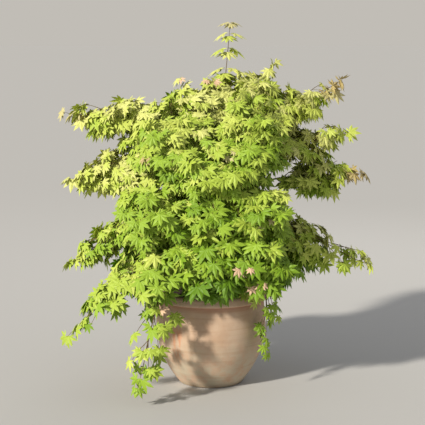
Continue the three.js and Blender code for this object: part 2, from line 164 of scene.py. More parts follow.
# Shoots: where they stand on a twig (share, side), and the ranges that their heading is drawn from
SHOOT_PLACES = [
    (0.9, 1), (0.9, -1), (0.72, 1), (0.72, -1), (0.54, 1), (0.54, -1), (0.36, 1), (0.36, -1),
    (0.18, 1), (0.18, -1),
]
SHOOT_RADIUS = (0.0009, 0.0006)
SHOOT_MESH = (3, 2)
SHOOT_LENGTH = (0.035, 0.08)
SHOOT_ONWARD = (0.3, 0.8)
SHOOT_SIDEWAYS = (0.6, 1)
SHOOT_STRAY = (-0.3, 0.3)
SHOOT_OUTWARD = (0.1, 0.5)
SHOOT_LIFT = (-0.3, 0.35)
SHOOT_HANG = (0.1, 0.4)

# Leaves: where they stand on a shoot (share, side), how many of those places an outer mass and the
# crown's body fill, the length of the middle lobe, and the ranges that the heading of stalk and
# blade and the blade's facing are drawn from
LEAF_PLACES = [(1, 0), (0.92, 1), (0.92, -1), (0.5, 1), (0.5, -1), (0.15, 1), (0.15, -1)]
OUTER_PLACES = 3
BODY_PLACES = 5
LEAF_LENGTH = (0.03, 0.047)
LEAF_ONWARD = (0.4, 1)
LEAF_SIDEWAYS = (0.7, 1.5)
LEAF_OUTWARD = (0, 0.4)
LEAF_OFF_STEM = (0, 0.5)
LEAF_DROOP = (0.2, 1.6)
STALK_RADIUS = 0.0006
STALK_LENGTH = (0.01, 0.024)
STALK_LIFT = (-0.2, 0.35)
FACING_OUTWARD = (0.5, 1.3)
FACING_OFF_STEM = (0.0, 0.7)
FACING_UP = (0.1, 0.9)
FACING_STRAY = (-0.7, 0.7)
LEAF_SEED = 83
LEAF_SEED_STEP = 103
PIECE_LEAVES = 3600

# Blade: lobes round the stalk's end (turn, reach), each folded along its rib, with hanging tips. A
# lobe is widest at LOBE_WIDEST of its reach, the notches between lobes are cut to a share of the
# shorter one, and the lifts are how far each corner stands out of the flat blade
LOBES_OF_SEVEN = [(-124, 0.5), (-82, 0.8), (-40, 0.95), (0, 1.0), (40, 0.95), (82, 0.8), (124, 0.5)]
LOBES_OF_FIVE = [(-92, 0.66), (-45, 0.92), (0, 1.0), (45, 0.92), (92, 0.66)]
BLADE_KINDS = 8
BLADE_SEED = 900
BLADE_SEED_STEP = 31
BLADE_DROOP = (0.04, 0.3)
BLADE_CUP = (0.0, 0.16)
LOBE_STRAY = (-5, 5)
LOBE_REACH = (0.92, 1.05)
LOBE_TIP_STRAY = (-3, 3)
LOBE_WIDEST = 0.6
LOBE_SPREAD = math.degrees(0.165 / LOBE_WIDEST)
LOBE_EDGE_LIFT = -0.045
LOBE_TIP_LIFT = -0.02
RIB_SHARE = 0.52
RIB_LIFT = 0.012
NOTCH_SHARE = 0.42
NOTCH_LEAST = 0.02
NOTCH_LIFT = -0.035
FOOT_TURN = 26
FOOT_REACH = 0.12
FOOT_LIFT = -0.01

# How full the outer masses are; those not named here make up the body of the crown, and are full
FULLNESS = {
    "leader": 0.5, "top_right": 1.0, "top_left": 1.0, "left_upper": 0.85, "left_mid": 0.95,
    "left_low": 0.52, "low_left": 0.32, "pot_left": 0.24, "right_upper": 0.5, "right_mid": 0.52,
    "right_tip": 0.56, "right_low": 0.46, "pot_right": 0.34, "front_low_left": 0.5,
}

# How much larger than the plain length a mass's leaves are
LEAF_SCALE = {
    "leader": 1.15, "top_right": 1.15, "top_left": 1.1, "top_back": 1.1, "left_upper": 1.2,
    "left_mid": 1.2, "left_low": 1.25, "low_left": 1.3, "pot_left": 1.15, "right_upper": 1.2,
    "right_mid": 1.2, "right_tip": 1.2, "right_low": 1.2, "pot_right": 0.9, "front_low": 1.35,
    "front_low_left": 1.3, "front_low_right": 1.3, "front_mid_left": 1.15, "front_mid_right": 1.15,
    "front_centre": 1.1, "back_low_left": 1.3, "back_low_right": 1.3, "back_centre": 1.25,
    "back_upper_left": 1.15, "back_upper_right": 1.15,
}

# Outer masses lose shoots and narrow towards the tip, from TAPER_WIDTH round the axis at
# TAPER_START along it. Leaves may stand past their space by a slack, in metres, which is less
# where the outline has to stay clear, and two masses are cut back at the crown's waist
THINNING = 0.8
TAPER = 0.8
TAPER_WIDTH = 1.2
TAPER_START = -0.25
SLACK = 0.06
CLOSE_SLACK = 0.016
CLOSE = ["leader", "left_low", "low_left", "pot_left", "right_low", "pot_right", "top_back"]
SIDE_LIMIT = {"front_mid_right": 0.29, "front_mid_left": 0.35}

# One bough a row, in millimetres: what it leaves and how far along that, the turn, reach and
# height of its tip, then of the furthest tip of its leaves, the width and depth of their
# space, and their light
BOUGHS = [
    ("leader", "trunk", 1.0, (0, 50, 1075), (0, 73, 1436), 230, 210, "bright"),
    ("right_upper", "trunk", 0.78, (0, 215, 1075), (-7, 520, 1245), 210, 190, "bright"),
    ("left_upper", "trunk", 0.74, (180, 190, 1062), (184, 604, 1122), 210, 190, "bright"),
    ("front_centre", "trunk", 0.86, (-88, 105, 830), (-91, 420, 880), 370, 350, "middle"),
    ("back_centre", "trunk", 0.82, (90, 130, 800), (88, 450, 850), 480, 400, "middle"),
    ("right_low", "trunk", 0.36, (-5, 235, 650), (-5, 662, 500), 240, 190, "middle"),
    ("left_low", "trunk", 0.4, (-175, 229, 690), (-170, 592, 512), 230, 190, "middle"),
    ("front_low_left", "trunk", 0.5, (-121, 190, 545), (-123, 505, 450), 290, 260, "middle"),
    ("front_low", "trunk", 0.6, (-88, 130, 560), (-91, 405, 570), 320, 300, "deep"),
    ("back_low_left", "trunk", 0.52, (128, 180, 575), (132, 520, 470), 380, 300, "deep"),
    ("back_low_right", "trunk", 0.56, (50, 180, 575), (46, 520, 480), 380, 300, "deep"),
    ("top_left", "leader", 0.74, (233, 40, 1010), (209, 140, 1250), 300, 270, "bright"),
    ("top_right", "leader", 0.8, (0, 122, 1035), (-5, 250, 1306), 280, 250, "bright"),
    ("top_back", "leader", 0.7, (78, 84, 1005), (85, 225, 1225), 320, 260, "bright"),
    ("front_upper_left", "left_upper", 0.66, (-125, 146, 935), (-128, 385, 1090), 330, 280, "bright"),
    ("front_upper_right", "right_upper", 0.62, (-55, 150, 950), (-57, 380, 1100), 330, 280, "bright"),
    ("back_upper_left", "left_upper", 0.6, (127, 155, 930), (127, 430, 1085), 350, 300, "middle"),
    ("back_upper_right", "right_upper", 0.56, (52, 160, 930), (54, 435, 1095), 350, 300, "middle"),
    ("right_mid", "right_upper", 0.8, (0, 249, 965), (-6, 548, 1035), 240, 190, "bright"),
    ("right_tip", "right_upper", 0.5, (6, 286, 845), (0, 616, 868), 240, 170, "middle"),
    ("left_mid", "left_upper", 0.64, (180, 205, 900), (188, 566, 852), 240, 210, "bright"),
    ("front_mid_left", "front_centre", 0.5, (-130, 130, 720), (-133, 480, 750), 330, 310, "middle"),
    ("front_mid_right", "front_centre", 0.42, (-48, 135, 715), (-44, 455, 760), 330, 310, "middle"),
    ("low_left", "left_low", 0.62, (-136, 300, 590), (-144, 690, 272), 220, 170, "bright"),
    ("pot_left", "front_low_left", 0.86, (-122, 330, 478), (-124, 508, 74), 210, 190, "middle"),
    ("front_low_right", "right_low", 0.34, (-52, 180, 580), (-51, 430, 545), 270, 240, "deep"),
    ("pot_right", "front_low_right", 0.8, (-44, 262, 520), (-41, 305, 160), 150, 140, "middle"),
]

# The leader's spire: height and turn of each opposite pair of leaves, their length and tint. Stalks
# have a share of the leaf's length, and kinds of blade below SPIRE_KINDS have seven lobes
SPIRE_FOOT = 1.275
SPIRE_TOP = (0.078, 0.0, 1.473)
SPIRE_STALK = 0.4
SPIRE_STALK_RISE = 0.25
SPIRE_STRAY = (-8, 8)
SPIRE_DROOP = (0.25, 0.6)
SPIRE_TILT = 0.4
SPIRE_KINDS = 3
SPIRE_PAIRS = [
    (1.473, 10, 0.04, "tan"), (1.468, 100, 0.032, "tan"), (1.428, -8, 0.058, "cream"),
    (1.416, 80, 0.046, "lemon"), (1.366, 14, 0.064, "lemon"), (1.352, 104, 0.052, "cream"),
    (1.309, -14, 0.066, "cream"), (1.294, 75, 0.056, "lemon"), (1.268, 35, 0.06, "lemon"),
]

# Leaf tints, as the colour seen in even light (0 to 255); the paler and deeper ones also paint light and
# shade
TINTS = {
    "cream": (204, 207, 118),
    "lemon": (188, 200, 88),
    "lime": (166, 187, 64),
    "fresh": (142, 172, 44),
    "green": (118, 152, 24),
    "shade": (94, 131, 8),
    "tan": (198, 190, 130),
    "rust": (188, 170, 114),
    "rose": (214, 180, 146),
}
LEAF_ROUGHNESS = 0.6

# The tint of a spray is a step on this ladder, from the palest to the deepest. The drawn spread is the
# leaves' own variety; the rest is painted light and shade: the light of its mass gives the step, and it
# goes deeper inside the crown and under a mass, paler at a mass's top, and up or down by mass
LADDER = ["cream", "lemon", "lime", "fresh", "green", "shade"]
# painted light and shade: masses in the sun start on paler steps, shaded ones on deeper steps
STEP_BY_LIGHT = {"bright": 0.4, "middle": 2.3, "deep": 3.4}
STEP_SPREAD = (-1.1, 1.1)
# painted shade inside the crown: steps deeper near the axis, within a radius and below a height
STEP_INSIDE_SHADE = 2.0
INNER_SHADE_RADIUS = 0.3
INNER_SHADE_TOP = 1.05
# painted shade under a mass and painted light at its top, the light down to a limit
STEP_UNDER_SHADE = 1.1
TOP_LIGHT_LIMIT = -0.4
# steps by mass that paint shade on some masses (deeper) and light on others (paler)
MASS_SHADE_STEP = {
    "front_upper_left": 1.3, "front_upper_right": 1.4, "low_left": 2.4, "left_mid": 0.2,
    "right_mid": 0.2, "front_low_left": 0.4, "front_centre": 0.3, "front_mid_left": 0.2,
    "front_mid_right": 0.3, "right_low": -1.0, "right_tip": -1.0, "front_low_right": 0.5,
    "top_right": 0.4,
}

# New leaves at the tips of these masses, from TIP_START along the space, more likely further out
TIP_START = 0.5
TIP_CHANCE_START = 0.35
TIP_CHANCE_RISE = 1.6
TIP_TINTS = {
    "leader": ["tan", "lemon"],
    "right_upper": ["tan", "rust", "cream", "tan"],
    "right_mid": ["tan", "lemon", "lemon"],
    "left_upper": ["rose", "tan", "cream", "cream"],
    "right_tip": ["tan", "rust", "lemon"],
    "right_low": ["lemon", "lime"],
}

# Places with a few small, dry leaves
WITHERED_EACH = 3
WITHERED_SIZE = 0.6
WITHERED = [
    ((0.131, -0.42, 0.532), "rose"), ((0.176, -0.4, 0.479), "rose"), ((-0.147, -0.44, 0.417), "rose"),
    ((-0.261, -0.37, 0.929), "rust"), ((0.23, -0.38, 0.684), "tan"), ((0.066, -0.4, 0.98), "tan"),
    ((-0.04, -0.1, 1.33), "rose"),
]

# Floor, light and camera. Turns and heights are in degrees, a lamp's row has its place, what it
# points at, its size and its watts, and the lens is given in the photo's pixels
FLOOR_SIZE = 400
FLOOR_SINK = 0.0005
AMBIENT_COLOUR = (0.93, 0.95, 1.0)
AMBIENT_STRENGTH = 0.36
BACKDROP_COLOUR = (193, 189, 182)
SUN_TURN = -134
SUN_HEIGHT = 27
SUN_STRENGTH = 4.3
SUN_SOFTNESS = 4.5
SUN_COLOUR = (1.0, 0.95, 0.86)
LAMPS = [
    ("fill", (1.4, -4.6, 2.4), (0, 0, 0.7), 3.0, 8),
    ("back", (1.5, 3.6, 3.2), (0, 0, 0.8), 2.0, 20),
]
CAMERA_PLACE = (0.007, -5.0, 1.4)
CAMERA_DIP = 7.91
LENS_PIXELS = 1230
PHOTO_WIDTH = 425
SENSOR_WIDTH = 36

UP = Vector((0, 0, 1))
MM = 0.001


def linear(colour):
    """Values from 0 to 255 as the numbers that a shader takes"""
    shares = [value / 255 for value in colour]
    return [s / 12.92 if s <= 0.04045 else ((s + 0.055) / 1.055) ** 2.4 for s in shares]


def mix(a, b, share):
    return a + (b - a) * share


# Shader formulas
class Signal:
    """A value in a finish that can be used in a formula"""

    def __init__(self, finish, socket):
        self.finish = finish
        self.socket = socket

    def maths(self, operation, first, second):
        return self.finish.node("ShaderNodeMath", {"operation": operation}, [first, second])

    def __add__(self, other):
        return self.maths("ADD", self, other)

    def __mul__(self, other):
        return self.maths("MULTIPLY", self, other)

    def __rsub__(self, other):
        return self.maths("SUBTRACT", other, self)

    __radd__ = __add__
    __rmul__ = __mul__

    def between(self, low, high):
        """0 below low, 1 above high, and a soft step in between"""
        settings = {"interpolation_type": "SMOOTHSTEP"}
        return self.finish.node("ShaderNodeMapRange", settings, [self, low, high])


class Finish:
    """A material with one surface, and formulas that feed it"""

    def __init__(self, name, colour, roughness):
        self.material = bpy.data.materials.new(name)
        self.material.use_nodes = True
        self.tree = self.material.node_tree
        self.surface = self.tree.nodes["Principled BSDF"]
        self.material.diffuse_color = [*linear(colour), 1]
        self.surface.inputs["Base Color"].default_value = [*linear(colour), 1]
        self.surface.inputs["Roughness"].default_value = roughness

    def node(self, kind, settings, values, output=0):
        node = self.tree.nodes.new(kind)
        for key, value in settings.items():
            setattr(node, key, value)
        pairs = values.items() if isinstance(values, dict) else enumerate(values)
        for key, value in pairs:
            if isinstance(value, Signal):
                self.tree.links.new(value.socket, node.inputs[key])
            else:
                node.inputs[key].default_value = value
        return Signal(self, node.outputs[output])

    def place(self):
        return self.node("ShaderNodeTexCoord", {}, {}, "Object")

    def axes(self):
        split = self.node("ShaderNodeSeparateXYZ", {}, [self.place()]).socket.node
        return [Signal(self, socket) for socket in split.outputs]

    def noise(self, scale, detail=3.0, stretch=(1, 1, 1), roughness=0.5):
        where = self.node("ShaderNodeMapping", {}, {"Vector": self.place(), "Scale": stretch})
        values = {"Vector": where, "Scale": scale, "Detail": detail, "Roughness": roughness}
        return self.node("ShaderNodeTexNoise", {}, values, "Fac")

    def blend(self, share, a, b):
        """Two colours mixed; each is a signal or values from 0 to 255"""
        a, b = [c if isinstance(c, Signal) else [*linear(c), 1] for c in (a, b)]
        settings = {"data_type": "RGBA", "clamp_factor": True}
        return self.node("ShaderNodeMix", settings, {0: share, 6: a, 7: b}, 2)

    def feed(self, socket, signal):
        self.tree.links.new(signal.socket, self.surface.inputs[socket])

    def relief(self, height, distance):
        values = {"Height": height, "Distance": distance}
        self.feed("Normal", self.node("ShaderNodeBump", {}, values, "Normal"))


def terracotta():
    """Pale clay with a bloom low down, turning bands, painted shade under the rim, darker patches on the rim,
    rusty streaks and a dirty foot
    """
    finish = Finish("terracotta", CLAY["plain"], 0.88)
    x, y, z = finish.axes()
    cloud = finish.noise(7, 4, roughness=0.6)
    patch = finish.noise(22, 5, roughness=0.65)
    rings = finish.noise(1, 3, (3, 3, 95))
    grain = finish.noise(420, 2)
    streak = finish.noise(1, 4, (46, 46, 7), 0.6)
    colour = finish.blend(cloud.between(0.35, 0.7), CLAY["pale"], CLAY["warm"])

    low = 1 - z.between(*BLOOM_TOP)
    bloom = (low * 0.85 + 0.12) * patch.between(0.32, 0.62)
    colour = finish.blend(bloom, colour, CLAY["bloom"])
    colour = finish.blend(rings.between(0.5, 0.72) * 0.3, colour, CLAY["ring"])

    # painted shade: the wall just under the rim is darkened where the rim's overhang shades it
    rim_shade = z.between(*SHADE_BAND_BOTTOM) * (1 - z.between(*SHADE_BAND_TOP))
    colour = finish.blend(rim_shade * 0.55, colour, CLAY["rim_shade"])
    # darker patches over the whole rim
    dark_rim = z.between(*DARK_RIM_BOTTOM) * patch.between(0.4, 0.68)
    colour = finish.blend(dark_rim * 0.6, colour, CLAY["dark_rim"])

    front = 1 - y.between(*RUST_FRONT)
    left = x.between(*RUST_LEFT) * (1 - x.between(*RUST_RIGHT))
    tall = z.between(*RUST_BOTTOM) * (1 - z.between(*RUST_TOP))
    rusty = front * left * tall * streak.between(0.46, 0.62)
    colour = finish.blend(rusty * 0.55, colour, CLAY["rust"])

    dirt = (1 - z.between(*DIRT_TOP)) * 0.5 + streak.between(0.6, 0.8) * 0.22
    colour = finish.blend(dirt, colour, CLAY["dirt"])
    finish.feed("Base Color", finish.blend(grain.between(0.55, 0.8) * 0.25, colour, CLAY["grain"]))
    finish.feed("Roughness", 0.8 + patch * 0.16)
    finish.relief(rings * 0.6 + patch * 0.3 + grain * 0.16, 0.0011)
    return finish.material


def compost():
    finish = Finish("compost", (58, 43, 30), 0.95)
    crumbs = finish.noise(160, 5, roughness=0.7)
    damp = finish.noise(14, 3)
    colour = finish.blend(crumbs.between(0.38, 0.68), (34, 24, 17), (86, 66, 46))
    finish.feed("Base Color", finish.blend(damp.between(0.4, 0.65) * 0.45, colour, (40, 29, 20)))
    finish.feed("Roughness", 0.85 + crumbs * 0.15)
    finish.relief(crumbs, 0.004)
    return finish.material


def bark():
    finish = Finish("bark", (112, 96, 66), 0.8)
    lengthwise = finish.noise(60, 5, (1, 1, 0.22), 0.62)
    patch = finish.noise(18, 4)
    colour = finish.blend(lengthwise.between(0.36, 0.66), (74, 60, 40), (132, 116, 82))
    colour = finish.blend(patch.between(0.52, 0.7) * 0.5, colour, (120, 124, 78))
    finish.feed("Base Color", colour)
    finish.feed("Roughness", 0.68 + lengthwise * 0.25)
    finish.relief(lengthwise, 0.0012)
    return finish.material


# Meshes
def new_piece(name, bm, material):
    mesh = bpy.data.meshes.new(name)
    bm.to_mesh(mesh)
    bm.free()
    return finish_piece(name, mesh, [material], True)


def finish_piece(name, mesh, materials, smooth):
    for material in materials:
        mesh.materials.append(material)
    mesh.polygons.foreach_set("use_smooth", [smooth] * len(mesh.polygons))
    piece = bpy.data.objects.new(name, mesh)
    bpy.context.scene.collection.objects.link(piece)
    return piece


def turned_shell(profile, segments):
    """A closed shell turned round the pot's axis from points of radius and height"""
    bm = bmesh.new()
    corners = [bm.verts.new((radius, 0, height)) for radius, height in profile]
    edges = [bm.edges.new(pair) for pair in zip(corners, corners[1:])]
    bmesh.ops.spin(
        bm, geom=corners + edges, cent=(0, 0, 0), axis=(0, 0, 1),
        angle=2 * math.pi, steps=segments, use_merge=True, use_duplicate=False,
    )
    bmesh.ops.remove_doubles(bm, verts=bm.verts[:], dist=1e-5)
    bmesh.ops.recalc_face_normals(bm, faces=bm.faces[:])
    return bm


def smooth_run(points, steps):
    """Points along a smooth line through the given ones"""
    points = np.array(points)
    last = len(points) - 1
    run = []
    for step in range(steps + 1):
        at = last * step / steps
        i = min(int(at), last - 1)
        t = at - i
        before, start, end, after = (points[min(max(k, 0), last)] for k in range(i - 1, i + 3))
        lead, trail = (end - before) / 2, (after - start) / 2
        cubic = (2 * start - 2 * end + lead + trail) * t ** 3
        square = (3 * end - 3 * start - 2 * lead - trail) * t ** 2
        run.append(tuple(cubic + square + lead * t + start))
    return run


def pot_profile():
    wall = [
        (radius + RIPPLE_HEIGHT * noise.noise(Vector((0, 0, height * 70))), height)
        for radius, height in smooth_run(POT_WALL_POINTS, POT_ROWS)
    ]
    rim = smooth_run([
        (0.2205, RIM_LOW + 0.0004), (0.2295, RIM_LOW + 0.0012), (0.2345, RIM_LOW + 0.005),
        (RIM_RADIUS, RIM_LOW + 0.012), (RIM_RADIUS - 0.0012, RIM_LOW + 0.021),
        (RIM_RADIUS - 0.0018, RIM_LOW + 0.028), (RIM_RADIUS - 0.006, RIM_LOW + 0.0355),
        (RIM_RADIUS - 0.0135, POT_HEIGHT - 0.0002), (POT_MOUTH_RADIUS + 0.008, POT_HEIGHT - 0.0006),
        (POT_MOUTH_RADIUS + 0.001, POT_HEIGHT - 0.006), (POT_MOUTH_RADIUS - 0.0005, POT_HEIGHT - 0.02),
        (POT_MOUTH_RADIUS - 0.003, SOIL_LEVEL - 0.01),
    ], RIM_ROWS)
    return POT_FOOT_POINTS + wall + rim + POT_INSIDE_POINTS


def build_pot():
    bm = turned_shell(pot_profile(), POT_SEGMENTS)
    for corner in bm.verts:
        radius = math.hypot(corner.co.x, corner.co.y)
        if radius > 0.1 and corner.co.z > 0.01:
            waver = WAVER_HEIGHT * noise.noise(corner.co * 9)
            waver += PIT_HEIGHT * noise.noise(corner.co * 60)
            corner.co.x *= 1 + waver / radius
            corner.co.y *= 1 + waver / radius
    pot = new_piece("pot_shell", bm, terracotta())
    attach(pot, "root")
    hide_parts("pot")


def soil_height(x, y):
    radius = math.hypot(x, y)
    mound = SOIL_LEVEL + SOIL_CENTRE_RISE - SOIL_EDGE_FALL * (radius / SOIL_RADIUS) ** 2
    lumps = SOIL_LUMP_HEIGHT * noise.noise(Vector((x * 26, y * 26, 3))) if radius > 0.05 else 0
    crumbs = SOIL_CRUMB_HEIGHT * noise.noise(Vector((x * 120, y * 120, 7)))
    return mound + lumps + crumbs


def build_soil():
    bm = bmesh.new()
    bmesh.ops.create_cone(
        bm, cap_ends=True, cap_tris=False, segments=SOIL_SEGMENTS,
        radius1=SOIL_RADIUS - SOIL_TAPER, radius2=SOIL_RADIUS, depth=SOIL_DEPTH,
    )
    top = [face for face in bm.faces if face.normal.z > 0.9]
    for ring in range(SOIL_RINGS):
        bmesh.ops.inset_region(bm, faces=top, thickness=SOIL_RING_WIDTH, use_even_offset=True)
    bmesh.ops.poke(bm, faces=top)
    bmesh.ops.translate(bm, verts=bm.verts[:], vec=(0, 0, SOIL_LEVEL - SOIL_DEPTH / 2 - SOIL_SETTLING))
    for corner in bm.verts:
        if corner.co.z > SOIL_LEVEL - SOIL_TOP_LAYER:
            corner.co.z = soil_height(corner.co.x, corner.co.y)
    soil = new_piece("soil_top", bm, compost())
    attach(soil, "root")
    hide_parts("soil")


# Limbs: flat curves with a taper, laid out as in the part's source
class Bend:
    """A curve through three points, the middle one pulling it aside"""

    def __init__(self, start, pull, end):
        self.start, self.pull, self.end = start, pull, end

    def point(self, t):
        return self.start * (1 - t) ** 2 + self.pull * (2 * t * (1 - t)) + self.end * t ** 2

    def heading(self, t):
        return ((self.pull - self.start) * (1 - t) + (self.end - self.pull) * t).normalized()

    def length(self):
        points = [self.point(k / 20) for k in range(21)]
        return sum((b - a).length for a, b in zip(points, points[1:]))


class Limb:
    """A curve with a radius at each share along it and angle round it, and its mesh's fineness"""

    def __init__(self, curve, radius, sides, steps):
        self.curve, self.radius, self.sides, self.steps = curve, radius, sides, steps


def place_at(turn, reach, height):
    """A place in metres, from a turn in degrees and a reach and height in millimetres"""
    angle = math.radians(turn)
    return Vector((reach * math.cos(angle), reach * math.sin(angle), height)) * MM


def trunk_limb():
    foot = SOIL_LEVEL + TOUCH_GAP
    curve = Bend(
        Vector((-TRUNK_LEAN / 2, 0, foot)),
        Vector((-TRUNK_LEAN / 2, 0, foot + TRUNK_HEIGHT / 2)),
        Vector((TRUNK_LEAN / 2, TRUNK_LEAN / 3, foot + TRUNK_HEIGHT)),
    )

    def radius(along, angle):
        flare = ROOT_FLARE * math.exp(-FLARE_FADE * along)
        roots = 1 + ROOT_RIDGE * math.cos(ROOT_COUNT * angle)
        return mix(TRUNK_RADIUS, TRUNK_TOP_RADIUS, along) + flare * roots

    return Limb(curve, radius, *TRUNK_MESH)


def bough_limb(limbs, parent_name, where, tip):
    """A bough from a share along its parent to its tip, with its foot no thicker than the parent"""
    parent = limbs[parent_name]
    start = parent.curve.point(where)
    onward = parent.curve.heading(where)
    end = place_at(*tip)
    rise = end - start
    if where == 1:
        pull = start + onward * (rise.length / 2)
    elif parent_name == "trunk":
        pull = start.lerp(end, 0.5)
        pull.z = start.z + MAIN_BOUGH_RISE * rise.z
    else:
        pull = start + onward * (rise.length * SIDE_BOUGH_ONWARD) + rise * SIDE_BOUGH_OUTWARD
    curve = Bend(start, pull, end)
    swell = BOUGH_LEAST_SWELL + BOUGH_SWELL_PER_LENGTH * curve.length()
    foot = min(BOUGH_TIP_RADIUS + swell, parent.radius(where, 0) * BOUGH_TAPER)

    def radius(along, angle):
        return mix(foot, BOUGH_TIP_RADIUS, along ** BOUGH_TAPER)

    return Limb(curve, radius, *BOUGH_MESH)


def add_limb(bm, limb):
    """A prism with caps, cut into steps and bent along the limb's curve with bark relief"""
    earlier = len(bm.verts)
    bmesh.ops.create_cone(
        bm, cap_ends=True, segments=limb.sides, radius1=1, radius2=1, depth=1,
    )
    edges = {edge for corner in bm.verts[earlier:] for edge in corner.link_edges}
    upright = [edge for edge in edges if abs(edge.verts[0].co.z - edge.verts[1].co.z) > 0.5]
    bmesh.ops.subdivide_edges(bm, edges=upright, cuts=limb.steps - 1, use_grid_fill=False)
    curve = limb.curve
    across = (curve.pull - curve.start).cross(curve.end - curve.start)
    if across.length < STRAIGHT * (curve.end - curve.start).length_squared:
        across = (UP if abs(curve.heading(0).z) < 0.8 else Vector((1, 0, 0))).cross(curve.heading(0))
    across.normalize()
    for corner in bm.verts[earlier:]:
        along = corner.co.z + 0.5
        angle = math.atan2(corner.co.y, corner.co.x)
        outward = curve.heading(along).cross(across)
        spoke = across * math.cos(angle) + outward * math.sin(angle)
        place = curve.point(along)
        radius = limb.radius(along, angle)
        ridge = noise.noise(Vector((spoke.x * 4, spoke.y * 4, place.z * 16)) + place * 7)
        knot = noise.noise(place * 34)
        corner.co = place + spoke * radius * (1 + BARK_RIDGE * (ridge + BARK_KNOT * knot))


def build_limbs():
    limbs = {"trunk": trunk_limb()}
    for name, parent, where, tip, *_ in BOUGHS:
        limbs[name] = bough_limb(limbs, parent, where, tip)
    bm = bmesh.new()
    for limb in limbs.values():
        add_limb(bm, limb)
    bmesh.ops.recalc_face_normals(bm, faces=bm.faces[:])
    wood = new_piece("trunk_and_boughs", bm, bark())
    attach(wood, "root")
    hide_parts("trunk", *("bough_" + row[0] for row in BOUGHS))
    return limbs


# Spaces, each cut flat part of the way to every neighbour
class Space:
    """The oval space of one mass, with its root, axes, centre and half sizes"""

    def __init__(self, bough_tip, furthest, width, depth):
        self.root = place_at(*bough_tip)
        tip = place_at(*furthest)
        self.axis = (tip - self.root).normalized()
        across = self.axis.cross(UP)
        if across.length < 0.2:
            across = Vector((0, 1, 0)).cross(self.axis)
        self.across = across.normalized()
        self.over = self.across.cross(self.axis)
        self.centre = self.root.lerp(tip, 0.5)
        half = (tip - self.root).length / 2 + SPACE_OVERREACH
        self.sizes = (half, width * MM / 2, depth * MM / 2)
        self.walls = []

    def local(self, point):
        """The point along the space's three axes, each 1 at its skin"""
        offset = point - self.centre
        axes = (self.axis, self.across, self.over)
        return [offset.dot(axis) / size for axis, size in zip(axes, self.sizes)]

    def extent(self, direction):
        """How far the space reaches from its centre in a direction"""
        axes = (self.axis, self.across, self.over)
        return math.hypot(*(axis.dot(direction) * size for axis, size in zip(axes, self.sizes)))

    def holds(self, point, slack):
        """Whether the point keeps to the space, its walls and skin moved out by slack"""
        reach = sum(abs(share) ** SPACE_FULLNESS for share in self.local(point))
        if reach ** (1 / SPACE_FULLNESS) > 1 + slack / self.sizes[1]:
            return False
        offset = point - self.centre
        return all(offset.dot(normal) < limit + slack for normal, limit in self.walls)


def in_taper(space, point):
    """Whether the point keeps to the cone that an outer mass narrows to on its way to the tip"""
    along, across, over = space.local(point)
    return math.hypot(across, over) < TAPER_WIDTH - TAPER * max(along - TAPER_START, 0)


def fits_mass(name, space, point):
    """Whether the point keeps to its mass's taper and to the crown's waist"""
    in_waist = abs(point.x) < SIDE_LIMIT.get(name, 1)
    return in_waist and (name not in FULLNESS or in_taper(space, point))


def is_free(point):
    """Whether the point is off the ground, off the pot and in reach of the solids"""
    over_pot = math.hypot(point.x, point.y) < RIM_RADIUS + POT_CLEARANCE
    if point.z < GROUND_CLEARANCE or (over_pot and point.z < POT_HEIGHT + POT_CLEARANCE):
        return False
    low, high = cad_box
    return all(low[k] - BOX_SLACK < point[k] < high[k] + BOX_SLACK for k in range(3))


def set_walls(spaces):
    """Gives every space its flat walls, placed by how far each of two neighbours reaches"""
    for space in spaces:
        for other in spaces:
            if other is not space:
                normal = other.centre - space.centre
                distance = normal.length
                normal.normalize()
                own = space.extent(normal)
                space.walls.append((normal, distance * own / (own + other.extent(normal))))


class Draws:
    """Numbers that follow from a seed, as in the part's source"""

    def __init__(self, seed):
        self.state = seed

    def one(self):
        self.state = (self.state * 1664525 + 1013904223) % 4294967296
        return self.state / 4294967296

    def between(self, low, high):
        return low + (high - low) * self.one()

    def pick(self, choices):
        return choices[min(int(self.one() * len(choices)), len(choices) - 1)]


# Growth: stem, twigs, shoots on the twigs, and pairs of leaves on the shoots
def grow_stem(space, bough):
    out = bough.curve.heading(1)
    length = space.sizes[0] * STEM_SHARE * 2
    return Bend(space.root, space.root + out * (length * STEM_ONWARD), space.root + space.axis * length)


def grow_tip(space, stem):
    """The stem's last shoot, which goes on to the furthest tip"""
    start = stem.point(1)
    length = space.sizes[0] * 2 * (TIP_SHARE - STEM_SHARE)
    end = start + space.axis * length
    return Bend(start, start + stem.heading(1) * (length / 2), end)


def grow_twig(space, stem, place, turn, ring, draws):
    """A twig to a point on a ring round the axis, as far along the space as place tells"""
    half, width, depth = space.sizes
    along = mix(*TWIG_SPAN, place)
    radius = math.sqrt(1 - along * along) * draws.between(*ring)
    turn += draws.between(*TWIG_STRAY)
    end = (
        space.centre + space.axis * (half * along * TWIG_REACH)
        + space.across * (width * radius * math.cos(turn))
        + space.over * (depth * radius * math.sin(turn))
    )
    first, last = TWIG_FOOT_RANGE
    start = stem.point(min(max(TWIG_FOOT_MIDDLE + TWIG_FOOT_MOVE * along, first), last))
    pull = start.lerp(end, 0.5) + UP * ((end - start).length * TWIG_ARCH)
    return Bend(start, pull, end)


